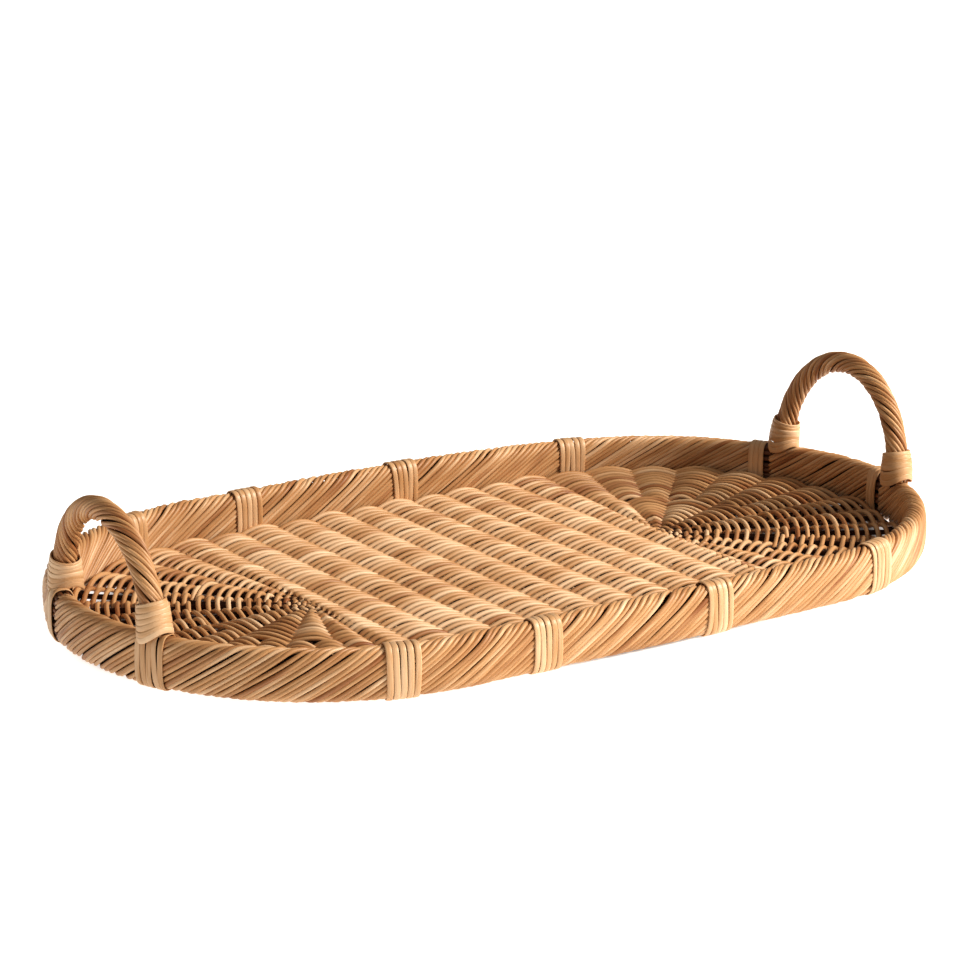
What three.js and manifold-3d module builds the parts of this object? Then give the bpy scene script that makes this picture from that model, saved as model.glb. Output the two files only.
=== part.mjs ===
// Oval woven serving tray: a floor of weavers carried round straight and fanned stakes, a tall
// rolled border bound with twelve bindings, and two twisted bow handles lashed to the ends.
// Millimetres, +X along the tray, +Y across it, +Z up, origin under the middle on the ground.
import * as THREE from "three";
import { mergeVertices } from "three/addons/utils/BufferGeometryUtils.js";
import Module from "manifold-3d";

// Plan of the border's middle line: two bowed sides joined by superelliptic ends.
const HALF_STRAIGHT = 148.5;
const HALF_WIDTH = 188;
const SIDE_BOW = 2;
const END_REACH = 193;
const END_POWER = 2.05;

// Border: a tall core strip inside wrapped rods, with bindings between the wrapped bays.
const WRAP = { halfThick: 8.5, bottom: 1, top: 38 };
const BINDING = { halfThick: 9.5, bottom: 0, top: 39.5 };
const CORE = { halfThick: 3, bottom: 5.5, top: 32.5 };
const FIT_GAP = 0.35;
const CHANNEL = {
  halfThick: CORE.halfThick + FIT_GAP,
  bottom: CORE.bottom - FIT_GAP,
  top: CORE.top + FIT_GAP,
};
const BINDING_WIDTH = 23;
const CORNER_SAG = 4.5; // how much lower the border stands at its +X +Y corner
const SAG_FROM_X = 60;
const STATION_STEP = 34; // longest step between two sections of the border
const LINE_STEPS = 400; // points of the middle line in each half of a quarter
const NORMAL_SPAN = 1.5;
const LOOP_POINTS = 10; // corners of one section
const LOOP_FLATS = Math.cos(Math.PI / LOOP_POINTS); // a loop's flats lie this much nearer in
const LOOP_POWER = 3;
const LOOP_FLAT_DEG = 72; // the two corners at this angle below level make the flat underside

// Bindings, by the plan point that each one is nearest to.
const SIDE_BINDINGS_X = { near: [-206, -96, 50, 207], far: [-216, -108, 35, 195] };
const FOOT_BINDINGS = [
  ["right_near", 338, -40],
  ["right_far", 327, 88],
  ["left_far", -341, 45],
  ["left_near", -337, -76],
];

// Floor: the weave is set a little towards -X, on eleven cross stakes and two fans of fourteen.
// A fan's stakes leave the knot as six pairs between two singles, and the pairs open out halfway.
const WEAVE_SHIFT = -8;
const FAN_CENTRE = 155;
const CROSS_STAKES = 11;
const FAN_GAPS = 15; // a half turn in equal angles, so fourteen stakes between the cross stakes
const PAIR_OFFSET = 1.9; // of a stake from the middle of its pair
const OPENING = { from: 0.45, to: 0.58 }; // shares of the way out between which a pair opens
const JOINT_LAP = 0.5; // how far the lengths of a bent stake run into each other
const STAKE_RADIUS = 2;
const STAKE_SIDES = 6;
const KNOT = { radius: 4.5, height: 4, out: 8, sides: 12 }; // joins a fan's stakes, past its centre
const FLOOR_Z = 6.5;
const CREST_HALF = 4.6; // half thickness of the weave over a stake
const VALLEY_HALF = 3.4; // and between two stakes
const WEAVE_BANDS = 2;
const BAND_GAP = 0.4;
const WALL_GAP = 0.9;
const HALVINGS = 40; // of the search for the border's wall
const STAKE_SHORT = 1.5; // how far a stake ends inside the weave's edge

// Handles: bow height above the border, half spread of the legs, plan place and outward lean.
const HANDLES = [
  { name: "left", side: -1, centreY: -9, spread: 64, rise: 69, lean: 3 },
  { name: "right", side: 1, centreY: 3, spread: 68, rise: 77, lean: 6 },
];
const HANDLE_X = 328;
const BOW_RADIUS = 4.5;
const TWIST_RADIUS = 8.7;
const PIN_DEPTH = 18;
const LASHING = { height: 21, radii: [13.4, 12.6, 10.8] }; // radii from the foot upwards
const FOOT_GAP = 0.5;
const UPRIGHT = 5; // how far a leg stands straight up before the bow begins
const BOW_POINTS = 12;
const BOW_STEPS = 26;
const TWIST_STEPS = 22;
const TUBE_SEGMENTS = 5; // in each half of a round section
const MERGE_WITHIN = 1e-3; // corners closer than this are one corner

// Peeled cane, from the palest bindings to the shaded core.
const caneColours = { light: 0xdcb483, mid: 0xc8935a, deep: 0xa9713d, dark: 0x8a5a31 };

function cane(name, roughness) {
  return new THREE.MeshStandardMaterial({ color: caneColours[name], roughness, metalness: 0 });
}

const wasm = await Module();
wasm.setup();

function toSolid(geometry) {
  const bare = geometry.clone();
  bare.deleteAttribute("normal");
  bare.deleteAttribute("uv");
  const merged = mergeVertices(bare, MERGE_WITHIN);
  return new wasm.Manifold(
    new wasm.Mesh({
      numProp: 3,
      vertProperties: merged.attributes.position.array,
      triVerts: new Uint32Array(merged.index.array),
    }),
  );
}

function toGeometry(solid) {
  const mesh = solid.getMesh();
  const geometry = new THREE.BufferGeometry();
  geometry.setAttribute("position", new THREE.BufferAttribute(mesh.vertProperties, 3));
  geometry.setIndex(new THREE.BufferAttribute(mesh.triVerts, 1));
  geometry.computeVertexNormals();
  return geometry;
}

// Geometry from corner points and quads; a quad with coinciding corners closes to a triangle.
function quadGeometry(points, quads) {
  const geometry = new THREE.BufferGeometry();
  const flat = points.flat();
  geometry.setAttribute("position", new THREE.Float32BufferAttribute(flat, 3));
  geometry.setIndex(quads.flatMap(([a, b, c, d]) => [a, b, c, a, c, d]));
  const merged = mergeVertices(geometry, MERGE_WITHIN);
  const index = [];
  const old = merged.index.array;
  for (let i = 0; i < old.length; i += 3) {
    const [a, b, c] = [old[i], old[i + 1], old[i + 2]];
    if (a !== b && b !== c && c !== a) index.push(a, b, c);
  }
  merged.setIndex(index);
  merged.computeVertexNormals();
  return merged;
}

const signedPower = (value, power) => Math.sign(value) * Math.abs(value) ** power;

// Outward swell of a long side, which dies away level at both ends of the straight stretch.
function bow(x) {
  const share = Math.min(1, Math.abs(x) / HALF_STRAIGHT);
  return SIDE_BOW * (1 - share ** 2) ** 2;
}

// Middle line of the border as a closed list of plan points, anticlockwise from the +X end:
// one quarter, from the end's middle to the side's middle, and its three mirror images.
function middleLine() {
  const quarter = [];
  for (let i = 0; i < LINE_STEPS; i++) {
    const angle = ((i / LINE_STEPS) * Math.PI) / 2;
    quarter.push([
      HALF_STRAIGHT + END_REACH * Math.cos(angle) ** (2 / END_POWER),
      HALF_WIDTH * Math.sin(angle) ** (2 / END_POWER),
    ]);
  }
  for (let i = 0; i <= LINE_STEPS; i++) {
    const x = HALF_STRAIGHT * (1 - i / LINE_STEPS);
    quarter.push([x, HALF_WIDTH + bow(x)]);
  }
  const image = (sx, sy) => quarter.map(([x, y]) => [sx * x, sy * y]);
  return [
    ...quarter.slice(0, -1),
    ...image(-1, 1).reverse().slice(0, -1),
    ...image(-1, -1).slice(0, -1),
    ...image(1, -1).reverse().slice(0, -1),
  ];
}

const line = middleLine();
const arc = [0];
line.forEach(([x, y], i) => {
  const [nextX, nextY] = line[(i + 1) % line.length];
  arc.push(arc[i] + Math.hypot(nextX - x, nextY - y));
});
const girth = arc[line.length];

// Plan point of the middle line at a distance along it.
function linePoint(distance) {
  const along = ((distance % girth) + girth) % girth;
  let low = 0;
  let high = line.length;
  while (high - low > 1) {
    const middle = (low + high) >> 1;
    if (arc[middle] <= along) low = middle;
    else high = middle;
  }
  const share = (along - arc[low]) / (arc[low + 1] - arc[low]);
  const [a, b] = [line[low], line[(low + 1) % line.length]];
  return [a[0] + (b[0] - a[0]) * share, a[1] + (b[1] - a[1]) * share];
}

// Plan point and outward normal at a distance along the middle line.
function station(distance) {
  const [x, y] = linePoint(distance);
  const [x0, y0] = linePoint(distance - NORMAL_SPAN);
  const [x1, y1] = linePoint(distance + NORMAL_SPAN);
  const length = Math.hypot(x1 - x0, y1 - y0);
  return { x, y, nx: (y1 - y0) / length, ny: -(x1 - x0) / length };
}

// Distance along the middle line of the point nearest to a plan point.
function nearestArc(x, y) {
  let best = 0;
  line.forEach(([px, py], i) => {
    const [bx, by] = line[best];
    if (Math.hypot(px - x, py - y) < Math.hypot(bx - x, by - y)) best = i;
  });
  return arc[best];
}

// Drop of the border's top towards the +X +Y corner.
function sag(x, y) {
  const reach = (HALF_STRAIGHT + END_REACH - SAG_FROM_X) * HALF_WIDTH;
  return CORNER_SAG * Math.min(1, (2 * Math.max(0, x - SAG_FROM_X) * Math.max(0, y)) / reach);
}

// Closed section of the border: offsets from the middle line and heights, flat underneath.
function sectionLoop({ halfThick, bottom, top }, drop) {
  const flat = Math.sin((LOOP_FLAT_DEG * Math.PI) / 180) ** (2 / LOOP_POWER);
  const half = (top - drop - bottom) / 2 / flat;
  return Array.from({ length: LOOP_POINTS }, (_, i) => {
    const angle = ((i * 360) / LOOP_POINTS) * (Math.PI / 180);
    const offset = halfThick * signedPower(Math.cos(angle), 2 / LOOP_POWER);
    return [offset, bottom + half * (flat + signedPower(Math.sin(angle), 2 / LOOP_POWER))];
  });
}

// Sections of one profile at a list of distances along the border, as corner points.
function sweepLoops(profile, distances) {
  return distances.map((distance) => {
    const { x, y, nx, ny } = station(distance);
    return sectionLoop(profile, sag(x, y)).map(([o, z]) => [x + nx * o, y + ny * o, z]);
  });
}

// Quads of a tube through section loops that start at a point index.
function tubeQuads(start, loops, closed) {
  const quads = [];
  const rows = closed ? loops : loops - 1;
  for (let i = 0; i < rows; i++) {
    for (let j = 0; j < LOOP_POINTS; j++) {
      const k = (j + 1) % LOOP_POINTS;
      const a = start + i * LOOP_POINTS;
      const b = start + ((i + 1) % loops) * LOOP_POINTS;
      quads.push([a + j, b + j, b + k, a + k]);
    }
  }
  return quads;
}

// A tube between outer and inner section loops, with both ends faced.
function ringTube(outer, inner) {
  const inside = outer.length * LOOP_POINTS;
  const last = inside - LOOP_POINTS;
  const quads = tubeQuads(0, outer.length, false);
  tubeQuads(inside, outer.length, false).forEach(([a, b, c, d]) => quads.push([d, c, b, a]));
  for (let j = 0; j < LOOP_POINTS; j++) {
    const k = (j + 1) % LOOP_POINTS;
    quads.push([j, k, inside + k, inside + j]);
    quads.push([last + k, last + j, inside + last + j, inside + last + k]);
  }
  return quadGeometry([...outer, ...inner].flat(), quads);
}

// A length of the border round the core's channel.
function borderGeometry(profile, distances) {
  return ringTube(sweepLoops(profile, distances), sweepLoops(CHANNEL, distances));
}

// Distances from one place on the border to another, in even steps no longer than the limit.
function steps(from, to) {
  const count = Math.max(1, Math.ceil((to - from) / STATION_STEP));
  return Array.from({ length: count + 1 }, (_, i) => from + ((to - from) * i) / count);
}

// Border pieces in order: each binding, then the wrapped bay that follows it.
function borderPieces() {
  const bindings = FOOT_BINDINGS.map(([name, x, y]) => [name, nearestArc(x, y)]);
  SIDE_BINDINGS_X.near.forEach((x, i) => bindings.push(["near_" + (i + 1), nearestArc(x, -HALF_WIDTH)]));
  SIDE_BINDINGS_X.far.forEach((x, i) => bindings.push(["far_" + (i + 1), nearestArc(x, HALF_WIDTH)]));
  bindings.sort((a, b) => a[1] - b[1]);
  const half = BINDING_WIDTH / 2;
  const pieces = [];
  bindings.forEach(([name, middle], i) => {
    const [, next] = bindings[(i + 1) % bindings.length];
    const nextMiddle = next > middle ? next : next + girth;
    const bay = "border_bay_" + String(i + 1).padStart(2, "0");
    const bindingSteps = [middle - half, middle + half];
    const baySteps = steps(middle + half + FIT_GAP, nextMiddle - half - FIT_GAP);
    pieces.push({ name: "binding_" + name, profile: BINDING, distances: bindingSteps });
    pieces.push({ name: bay, profile: WRAP, distances: baySteps });
  });
  return pieces;
}

// Straight rod between two points.
function rod(from, to, radius, sides) {
  const [a, b] = [new THREE.Vector3(...from), new THREE.Vector3(...to)];
  const way = b.clone().sub(a);
  const geometry = new THREE.CylinderGeometry(radius, radius, way.length(), sides);
  const turn = new THREE.Quaternion().setFromUnitVectors(
    new THREE.Vector3(0, 1, 0),
    way.clone().normalize(),
  );
  geometry.applyQuaternion(turn);
  const middle = a.add(b).multiplyScalar(0.5);
  return geometry.translate(middle.x, middle.y, middle.z);
}

// Whether a plan point lies inside the border's inner wall.
function insideWall(x, y) {
  const wall = WRAP.halfThick + WALL_GAP;
  const beyond = Math.max(0, Math.abs(x) - HALF_STRAIGHT) / (END_REACH - wall);
  const across = Math.abs(y) / (HALF_WIDTH + bow(x) - wall);
  return beyond ** END_POWER + across ** END_POWER < 1;
}

// How far the floor runs from a plan point in a direction, by halving.
function reachToWall(x, y, dx, dy) {
  let low = 0;
  let high = END_REACH + HALF_WIDTH;
  for (let i = 0; i < HALVINGS; i++) {
    const middle = (low + high) / 2;
    if (insideWall(x + dx * middle, y + dy * middle)) low = middle;
    else high = middle;
  }
  return low;
}

const crossX = (i) => WEAVE_SHIFT - FAN_CENTRE + (2 * FAN_CENTRE * i) / (CROSS_STAKES - 1);

// Swell of the weave's inner band on a fan's ray, from 0 midway between two pairs to 1 over one.
function pairSwell(i) {
  const fromSide = Math.min(i, 2 * FAN_GAPS - i);
  return fromSide < 3 ? fromSide - 1 : [0.5, 1, 0.5, 0][fromSide % 4];
}

// Rays of the weave, anticlockwise from the right fan's near side, one on each stake and one
// halfway to the next: where each starts and points, its length, its swell in each band, and
// if it is on a fan.
function weaveRays() {
  const rays = [];
  const add = (x, angle, swells, onFan) => {
    const [dx, dy] = [Math.cos(angle), Math.sin(angle)];
    rays.push({ x, dx, dy, swells, onFan, reach: reachToWall(x, 0, dx, dy) });
  };
  for (const side of [1, -1]) {
    const turn = side > 0 ? 0 : Math.PI;
    for (let i = 1; i < 2 * FAN_GAPS; i++) {
      const angle = turn - Math.PI / 2 + (i * Math.PI) / (2 * FAN_GAPS);
      add(WEAVE_SHIFT + side * FAN_CENTRE, angle, [pairSwell(i), 1 - (i % 2)], true);
    }
    for (let i = 0; i <= 2 * (CROSS_STAKES - 1); i++) {
      const x = side > 0 ? crossX(CROSS_STAKES - 1 - i / 2) : crossX(i / 2);
      add(x, turn + Math.PI / 2, [1 - (i % 2), 1 - (i % 2)], false);
    }
  }
  return rays;
}

// One band of the weave: a ring plate, thick over the stakes and thin between them.
function weaveBand(rays, band) {
  const inner = band === 0;
  const points = [];
  const halfAt = (ray) => VALLEY_HALF + (CREST_HALF - VALLEY_HALF) * ray.swells[band];
  const put = (ray, distance, z) => points.push([ray.x + ray.dx * distance, ray.dy * distance, z]);
  rays.forEach((ray) => {
    const start = inner ? 0 : (ray.reach * band) / WEAVE_BANDS + BAND_GAP / 2;
    const last = band === WEAVE_BANDS - 1;
    const end = (ray.reach * (band + 1)) / WEAVE_BANDS - (last ? 0 : BAND_GAP / 2);
    const startHalf = inner && ray.onFan ? CREST_HALF : halfAt(ray);
    put(ray, start, FLOOR_Z + startHalf);
    put(ray, end, FLOOR_Z + halfAt(ray));
    put(ray, end, FLOOR_Z - halfAt(ray));
    put(ray, start, FLOOR_Z - startHalf);
  });
  const quads = [];
  rays.forEach((_, i) => {
    const [a, b] = [4 * i, 4 * ((i + 1) % rays.length)];
    quads.push([a, a + 1, b + 1, b], [a + 1, a + 2, b + 2, b + 1], [a + 2, a + 3, b + 3, b + 2]);
    if (!inner) quads.push([a + 3, a, b, b + 3]);
  });
  return quadGeometry(points, quads);
}

// Stakes of the floor, each as a list of plan points.
function crossPaths() {
  return Array.from({ length: CROSS_STAKES }, (_, i) => {
    const reach = reachToWall(crossX(i), 0, 0, 1) - STAKE_SHORT;
    return [[crossX(i), -reach], [crossX(i), reach]];
  });
}

// A fan's stakes run from the knot beside their partner, swing over to their own ray and follow
// it to the wall. The first and the last have no partner.
function fanPaths(side) {
  const centre = WEAVE_SHIFT + side * FAN_CENTRE;
  return Array.from({ length: FAN_GAPS - 1 }, (_, k) => {
    const i = k + 1;
    const single = i === 1 || i === FAN_GAPS - 1;
    const own = -Math.PI / 2 + (i * Math.PI) / FAN_GAPS;
    const shared = single ? own : -Math.PI / 2 + ((4 * Math.floor(i / 2) + 1) * Math.PI) / (2 * FAN_GAPS);
    const offset = single ? 0 : Math.sign(own - shared) * PAIR_OFFSET;
    const beside = [-side * Math.sin(shared) * offset, Math.cos(shared) * offset];
    const onRay = (angle, share, short) => {
      const [dx, dy] = [side * Math.cos(angle), Math.sin(angle)];
      const distance = reachToWall(centre, 0, dx, dy) * share - short;
      return [centre + dx * distance, dy * distance];
    };
    const opening = onRay(shared, OPENING.from, 0);
    return [
      [centre + side * KNOT.out + beside[0], beside[1]],
      [opening[0] + beside[0], opening[1] + beside[1]],
      onRay(own, OPENING.to, 0),
      onRay(own, 1, STAKE_SHORT),
    ];
  });
}

// One stake, as straight lengths that lap at the bends. A clearance widens it and runs it out
// through the weave's edge, past both ends where it is a cross stake, and past the outer end
// alone where it leaves a knot.
function stakeSolid(path, clearance, fromKnot) {
  const lap = clearance > 0 ? 2 * JOINT_LAP : JOINT_LAP;
  const free = clearance > 0 ? 2 * STAKE_SHORT : 0;
  const lengths = path.slice(1).map((to, i) => {
    const from = path[i];
    const length = Math.hypot(to[0] - from[0], to[1] - from[1]);
    const [dx, dy] = [(to[0] - from[0]) / length, (to[1] - from[1]) / length];
    const back = i === 0 && !fromKnot ? free : lap;
    const on = i === path.length - 2 ? free : lap;
    const start = [from[0] - dx * back, from[1] - dy * back, FLOOR_Z];
    const end = [to[0] + dx * on, to[1] + dy * on, FLOOR_Z];
    return toSolid(rod(start, end, STAKE_RADIUS + clearance, STAKE_SIDES));
  });
  return lengths.reduce((joined, solid) => joined.add(solid));
}

function knotGeometry(side, clearance) {
  const radius = KNOT.radius + clearance;
  const height = KNOT.height + 2 * clearance;
  const geometry = new THREE.CylinderGeometry(radius, radius, height, KNOT.sides);
  geometry.rotateX(Math.PI / 2);
  return geometry.translate(WEAVE_SHIFT + side * (FAN_CENTRE + KNOT.out), 0, FLOOR_Z);
}

// A fan's stakes, joined at the knot where they start.
function fanSolid(side, clearance) {
  return fanPaths(side)
    .map((path) => stakeSolid(path, clearance, true))
    .reduce((joined, solid) => joined.add(solid), toSolid(knotGeometry(side, clearance)));
}

// Handle path: up from below each foot, over a bow that leans outwards, and down again.
function handlePath({ side, centreY, spread, rise, lean }, below) {
  const points = [];
  const foot = (sign, height) => {
    const y = centreY + sign * spread;
    return new THREE.Vector3(side * HANDLE_X, y, footHeight(side * HANDLE_X, y) + height);
  };
  const bowPoint = (angle) =>
    new THREE.Vector3(
      side * (HANDLE_X + lean * Math.sin(angle)),
      centreY - spread * Math.cos(angle),
      BINDING.top + rise * Math.sin(angle),
    );
  points.push(foot(-1, -below), foot(-1, UPRIGHT));
  for (let i = 1; i < BOW_POINTS; i++) points.push(bowPoint((i * Math.PI) / BOW_POINTS));
  points.push(foot(1, UPRIGHT), foot(1, -below));
  return new THREE.CatmullRomCurve3(points, false, "centripetal");
}

const footHeight = (x, y) => BINDING.top + FOOT_GAP - sag(x, y);

// A round rod swept along a path.
function sweptRod(path, radius, count) {
  return new THREE.ExtrudeGeometry(new THREE.Shape().absarc(0, 0, radius, 0, 2 * Math.PI), {
    extrudePath: path,
    steps: count,
    curveSegments: TUBE_SEGMENTS,
    bevelEnabled: false,
  });
}

// Round loop square to a path, at a share of its length.
function roundLoop(path, share, radius) {
  const centre = path.getPointAt(share);
  const along = path.getTangentAt(share);
  const across = new THREE.Vector3(1, 0, 0).addScaledVector(along, -along.x).normalize();
  const up = across.clone().cross(along);
  return Array.from({ length: LOOP_POINTS }, (_, j) => {
    const angle = (j * 2 * Math.PI) / LOOP_POINTS;
    const point = centre.clone().addScaledVector(across, radius * Math.cos(angle));
    return point.addScaledVector(up, radius * Math.sin(angle)).toArray();
  });
}

// The twisted cover of a handle's bow, open along its middle for the bow.
function twistGeometry(handle) {
  const path = handlePath(handle, 0);
  const shares = Array.from({ length: TWIST_STEPS + 1 }, (_, i) => i / TWIST_STEPS);
  const bore = (BOW_RADIUS + 2 * FIT_GAP) / LOOP_FLATS;
  return ringTube(
    shares.map((share) => roundLoop(path, share, TWIST_RADIUS)),
    shares.map((share) => roundLoop(path, share, bore)),
  );
}

// A collar of split cane round a handle's foot, wider below.
function lashingGeometry(handle, atStart) {
  const path = handlePath(handle, 0);
  const whole = path.getLength();
  const levels = LASHING.radii.map((radius, i) => {
    const share = (LASHING.height * i) / (LASHING.radii.length - 1) / whole;
    return [atStart ? share : 1 - share, radius];
  });
  if (!atStart) levels.reverse();
  const bore = (TWIST_RADIUS + FIT_GAP) / LOOP_FLATS;
  return ringTube(
    levels.map(([share, radius]) => roundLoop(path, share, radius)),
    levels.map(([share]) => roundLoop(path, share, bore)),
  );
}

const tray = new THREE.Group();
tray.name = "serving_tray";

function addPart(name, geometry, material) {
  const mesh = new THREE.Mesh(geometry, material);
  mesh.name = name;
  tray.add(mesh);
}

// Floor: cross stakes, fan stakes and the weave that they run through.
crossPaths().forEach((path, i) => {
  const name = "cross_stake_" + String(i + 1).padStart(2, "0");
  addPart(name, toGeometry(stakeSolid(path, 0, false)), cane("deep", 0.7));
});
addPart("fan_stakes_right", toGeometry(fanSolid(1, 0)), cane("deep", 0.7));
addPart("fan_stakes_left", toGeometry(fanSolid(-1, 0)), cane("deep", 0.7));

const tunnels = crossPaths()
  .map((path) => stakeSolid(path, FIT_GAP, false))
  .concat(fanSolid(1, FIT_GAP), fanSolid(-1, FIT_GAP))
  .reduce((joined, solid) => joined.add(solid));
const rays = weaveRays();
for (let band = 0; band < WEAVE_BANDS; band++) {
  const woven = toSolid(weaveBand(rays, band)).subtract(tunnels);
  addPart("weave_band_" + (band + 1), toGeometry(woven), cane("light", 0.6));
}

// Border: pieces threaded on the core, with sockets where the handle bows go in.
const sockets = HANDLES.map((handle) => {
  const path = handlePath(handle, PIN_DEPTH + FOOT_GAP);
  return toSolid(sweptRod(path, BOW_RADIUS + FOOT_GAP, BOW_STEPS));
}).reduce((joined, solid) => joined.add(solid));
const socketed = (geometry) => {
  const solid = toSolid(geometry);
  const touches = solid.intersect(sockets).volume() > 0;
  return touches ? toGeometry(solid.subtract(sockets)) : geometry;
};
const pieces = borderPieces();
pieces.forEach(({ name, profile, distances }) => {
  const material = profile === WRAP ? cane("mid", 0.55) : cane("light", 0.5);
  addPart(name, socketed(borderGeometry(profile, distances)), material);
});
const coreStations = pieces
  .filter(({ profile }) => profile === WRAP)
  .flatMap(({ distances }) => distances.map((d) => d % girth))
  .sort((a, b) => a - b);
const coreQuads = tubeQuads(0, coreStations.length, true);
const core = quadGeometry(sweepLoops(CORE, coreStations).flat(), coreQuads);
addPart("border_core", socketed(core), cane("dark", 0.8));

// Handles: bow, twisted cover and the lashings at both feet.
HANDLES.forEach((handle) => {
  const bowRod = sweptRod(handlePath(handle, PIN_DEPTH), BOW_RADIUS, BOW_STEPS);
  addPart("handle_bow_" + handle.name, bowRod, cane("dark", 0.7));
  addPart("handle_twist_" + handle.name, twistGeometry(handle), cane("mid", 0.5));
  addPart("handle_lashing_" + handle.name + "_near", lashingGeometry(handle, true), cane("light", 0.5));
  addPart("handle_lashing_" + handle.name + "_far", lashingGeometry(handle, false), cane("light", 0.5));
});

export default tray;
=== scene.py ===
"""Looks of an oval woven cane tray: every rod, binding and strand as a piece in the CAD frame."""

import math

import bpy
import numpy as np
from bpy.props import FloatProperty, FloatVectorProperty, IntProperty, PointerProperty
from bpy.types import Operator, Panel, PropertyGroup
from mathutils import Matrix, Vector


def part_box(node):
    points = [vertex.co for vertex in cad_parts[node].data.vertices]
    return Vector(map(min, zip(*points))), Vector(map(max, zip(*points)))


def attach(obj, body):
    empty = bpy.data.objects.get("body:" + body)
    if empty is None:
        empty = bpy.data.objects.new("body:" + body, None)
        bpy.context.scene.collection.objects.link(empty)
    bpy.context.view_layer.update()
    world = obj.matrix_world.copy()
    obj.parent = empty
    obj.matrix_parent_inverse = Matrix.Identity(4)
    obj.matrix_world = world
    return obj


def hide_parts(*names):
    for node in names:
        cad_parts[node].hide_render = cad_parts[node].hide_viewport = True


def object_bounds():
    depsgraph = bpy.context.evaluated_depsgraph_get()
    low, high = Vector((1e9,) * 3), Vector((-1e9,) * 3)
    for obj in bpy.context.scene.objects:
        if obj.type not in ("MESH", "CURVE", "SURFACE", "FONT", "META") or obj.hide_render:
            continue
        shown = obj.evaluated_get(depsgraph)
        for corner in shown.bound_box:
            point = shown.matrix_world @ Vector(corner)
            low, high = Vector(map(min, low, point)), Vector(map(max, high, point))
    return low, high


bl_info = {
    "name": "Woven cane tray",
    "version": (1, 0, 0),
    "blender": (4, 5, 0),
    "location": "3D View > Sidebar > Cane Tray",
    "description": "Weaves the floor, border, bindings and handles of an oval cane tray",
    "category": "Add Mesh",
}

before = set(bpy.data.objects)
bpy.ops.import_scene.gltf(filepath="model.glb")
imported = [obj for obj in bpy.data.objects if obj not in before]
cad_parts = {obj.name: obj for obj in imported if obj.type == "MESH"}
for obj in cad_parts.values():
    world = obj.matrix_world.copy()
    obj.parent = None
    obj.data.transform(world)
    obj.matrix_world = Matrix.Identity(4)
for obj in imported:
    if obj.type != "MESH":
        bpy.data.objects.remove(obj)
CAD_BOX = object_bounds()
MM = 0.001
TURN = 2 * math.pi
SEED = 20
UP = np.array((0.0, 0.0, 1.0))

# Plan of the border's middle line, as the frame has it: two bowed sides and superelliptic ends.
HALF_STRAIGHT = 148.5 * MM
HALF_WIDTH = 188 * MM
SIDE_BOW = 2 * MM
END_REACH = 193 * MM
END_POWER = 2.05
CORNER_SAG = 4.5 * MM
SAG_FROM_X = 60 * MM
LINE_POINTS = 600

FOOT_BINDINGS = ("right_near", "right_far", "left_far", "left_near")
SIDE_BINDINGS = tuple(f"{side}_{i}" for side in ("near", "far") for i in (1, 2, 3, 4))
# Which side of a foot's binding the border's rods stop short on, as a sign along the border.
OPEN_SIDE = {"right_near": -1, "right_far": -1, "left_far": 1}
HANDLES = {
    "left": {"side": -1, "centre": -9 * MM, "spread": 64 * MM, "rise": 68.5 * MM, "lean": 3 * MM},
    "right": {"side": 1, "centre": 3 * MM, "spread": 68 * MM, "rise": 76.5 * MM, "lean": 6 * MM},
}
HANDLE_X = 328 * MM
CROSS_STAKES = 11
FAN_GAPS = 15
# A fan's stakes leave the middle as six pairs between two singles. These are the angles of the
# pairs and singles, and the shares of the way out between which a pair opens into its two stakes.
PAIR_ANGLES = np.radians((-90, -78, -60, -36, -12, 12, 36, 60, 78, 90))
OPENING = (0.45, 0.58)
# The floor ends short of the border's inner wall, and its reach is found by halving.
WALL_GAP = 0.9 * MM
HALVINGS = 40
# The cane that closes the joint between floor and border: its place, height and radius.
CLOSING_INWARD = 9.2 * MM
CLOSING_LEVEL = 3.2 * MM
CLOSING_RADIUS = 2.3 * MM
# A border's rods run in under the bindings, and are drawn in steps.
ROD_LAP = 4 * MM
ROD_STEP = 2.6 * MM
ROD_SWELL = 0.9 * MM
# A binding's canes go just over once round the border, and their ends lie underneath.
BINDING_TURNS = (-0.27, 0.77)
# A lashing's turns, its radius at its foot, middle and top, and its drape over the border.
LASHING_TURNS = 7
LASHING_RADII = (12.2 * MM, 11.6 * MM, 10.0 * MM)
LASHING_DRAPE = 8 * MM
LASHING_DRAPE_SHARE = 0.7
# The stage: half the floor's width, and the key light's size and distance.
FLOOR_HALF = 30.0
KEY_SIZE = 1.5
KEY_AWAY = 4.2


# ---------------------------------------------------------------- sizes and colours


def size(name, description, millimetres):
    """A length property that shows its unit."""
    return FloatProperty(
        name=name, description=description, default=millimetres * MM, unit="LENGTH", precision=4
    )


def count(name, description, number):
    """A property for a number of things."""
    return IntProperty(name=name, description=description, default=number, min=1)


def linear(code):
    """An sRGB hex code as linear red, green and blue."""
    srgb = np.array([int(code[i : i + 2], 16) for i in (0, 2, 4)]) / 255
    light = np.where(srgb <= 0.04045, srgb / 12.92, ((srgb + 0.055) / 1.055) ** 2.4)
    return tuple(float(c) for c in light)


def colour(name, description, code):
    """A colour property with its default given as sRGB hex."""
    return FloatVectorProperty(
        name=name, description=description, default=linear(code), subtype="COLOR", min=0, max=1
    )


class TrayFloor(PropertyGroup):
    """Sizes of the woven floor."""

    rounds: count("Rounds", "Weavers between the middle and the border", 48)
    weaver: size("Weaver", "Diameter of a weaving rod", 3.6)
    stake: size("Stake", "Diameter of a stake", 4.0)
    level: size("Level", "Height of the stakes' middle line", 6.5)
    shift: size("Shift", "How far the weave sits towards the right end", -8)
    fan: size("Fan centre", "Distance of a fan's centre from the weave's middle", 155)


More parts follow.
